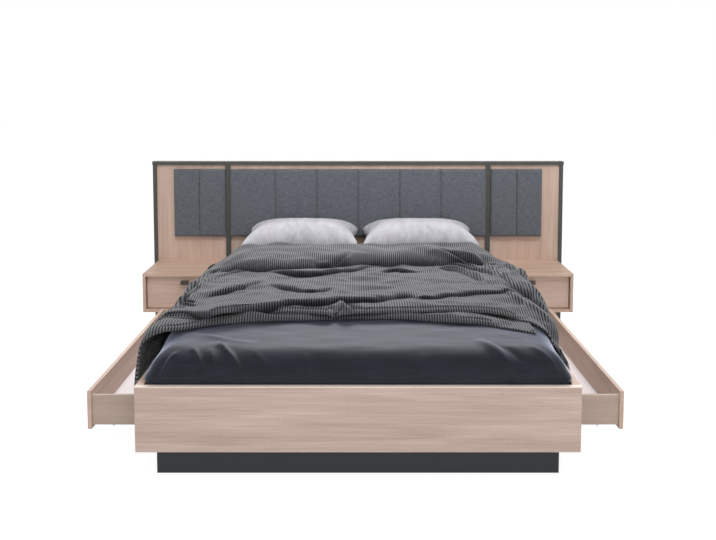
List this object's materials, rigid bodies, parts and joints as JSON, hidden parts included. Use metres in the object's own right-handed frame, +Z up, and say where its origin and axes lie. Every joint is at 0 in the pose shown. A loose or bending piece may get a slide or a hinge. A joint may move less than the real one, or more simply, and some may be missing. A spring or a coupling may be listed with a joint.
{
  "type": "bed with attached nightstands",
  "caption": "Double bed with a padded headboard, hung nightstands with drawers, long under-bed drawers and dressed bedding.",
  "frame": {"origin": "on the floor, below the middle of the whole bed in plan", "axes": "+X to the right as seen from the foot of the bed, +Y from the footboard towards the headboard, +Z up"},
  "size_m": [2.557, 2.0906, 1.024],
  "materials": {
    "wood_decor": "pale oak decor board, fine grain, satin",
    "plain_wood": "plain sawn wood and board",
    "anthracite_trim": "anthracite laminate, matt",
    "plinth_laminate": "dark grey laminate, matt",
    "handle_lacquer": "dark lacquer, satin",
    "white_board": "white board, matt",
    "steel": "zinc plated",
    "pad_fabric": "blue-grey melange weave",
    "mattress_ticking": "white ticking",
    "navy_cotton": "navy cotton, soft",
    "ribbed_knit": "grey rib knit",
    "pillow_cotton": "pale cotton"
  },
  "bodies": {
    "bed": {"plinth_boards": "plinth_laminate", "footboard": "wood_decor", "side_rail_left": "wood_decor", "side_rail_right": "wood_decor", "lower_side_panels": "wood_decor", "drawer_dividers": "plain_wood", "centre_spine": "plain_wood", "slat_ledges": "plain_wood", "slats": "plain_wood", "corner_brackets": "steel", "frame_bolts": "steel", "headboard_centre_panel": "wood_decor", "headboard_side_panels": "wood_decor", "headboard_cap": "anthracite_trim", "headboard_outer_trims": "anthracite_trim", "headboard_inner_trims": "anthracite_trim", "headboard_back_battens": "plain_wood", "pad_boards": "plain_wood", "centre_pad": "pad_fabric", "left_pad": "pad_fabric", "right_pad": "pad_fabric", "left_nightstand_top": "wood_decor", "right_nightstand_top": "wood_decor", "left_nightstand_sides": "wood_decor", "right_nightstand_sides": "wood_decor", "nightstand_bottoms": "wood_decor", "nightstand_backs": "plain_wood", "nightstand_runners": "steel", "under_drawer_runners": "steel", "mattress": "mattress_ticking", "bed_cover": "navy_cotton", "blanket": "ribbed_knit", "left_pillow": "pillow_cotton", "right_pillow": "pillow_cotton"},
    "left_nightstand_drawer": {"left_nightstand_drawer_front": "wood_decor", "left_nightstand_drawer_sides": "wood_decor", "left_nightstand_drawer_back": "wood_decor", "left_nightstand_drawer_bottom": "white_board", "left_nightstand_drawer_handle": "handle_lacquer", "left_nightstand_drawer_runner": "steel"},
    "left_under_drawer": {"left_under_drawer_front": "wood_decor", "left_under_drawer_ends": "wood_decor", "left_under_drawer_back": "wood_decor", "left_under_drawer_bottom": "white_board", "left_under_drawer_stiffener": "wood_decor", "left_under_drawer_inner_runner": "steel"},
    "left_middle_runner": {"left_under_drawer_middle_runner": "steel"},
    "right_nightstand_drawer": {"right_nightstand_drawer_front": "wood_decor", "right_nightstand_drawer_sides": "wood_decor", "right_nightstand_drawer_back": "wood_decor", "right_nightstand_drawer_bottom": "white_board", "right_nightstand_drawer_handle": "handle_lacquer", "right_nightstand_drawer_runner": "steel"},
    "right_under_drawer": {"right_under_drawer_front": "wood_decor", "right_under_drawer_ends": "wood_decor", "right_under_drawer_back": "wood_decor", "right_under_drawer_bottom": "white_board", "right_under_drawer_stiffener": "wood_decor", "right_under_drawer_inner_runner": "steel"},
    "right_middle_runner": {"right_under_drawer_middle_runner": "steel"}
  },
  "joints": [
    {"name": "left_nightstand_drawer_slide", "type": "slide", "parent": "bed", "child": "left_nightstand_drawer", "axis": [0, -1, 0], "range_m": [0, 0.225]},
    {"name": "left_under_drawer_slide", "type": "slide", "parent": "bed", "child": "left_under_drawer", "axis": [-1, 0, 0], "range_m": [-0.247, 0.253]},
    {"name": "left_middle_runner_slide", "type": "slide", "parent": "bed", "child": "left_middle_runner", "axis": [-1, 0, 0], "range_m": [-0.1235, 0.1265]},
    {"name": "right_nightstand_drawer_slide", "type": "slide", "parent": "bed", "child": "right_nightstand_drawer", "axis": [0, -1, 0], "range_m": [0, 0.225]},
    {"name": "right_under_drawer_slide", "type": "slide", "parent": "bed", "child": "right_under_drawer", "axis": [1, 0, 0], "range_m": [-0.227, 0.273]},
    {"name": "right_middle_runner_slide", "type": "slide", "parent": "bed", "child": "right_middle_runner", "axis": [1, 0, 0], "range_m": [-0.1135, 0.1365]}
  ],
  "couplings": [
    {"joint": "left_middle_runner_slide", "follows": "left_under_drawer_slide", "ratio": 0.5},
    {"joint": "right_middle_runner_slide", "follows": "right_under_drawer_slide", "ratio": 0.5}
  ]
}
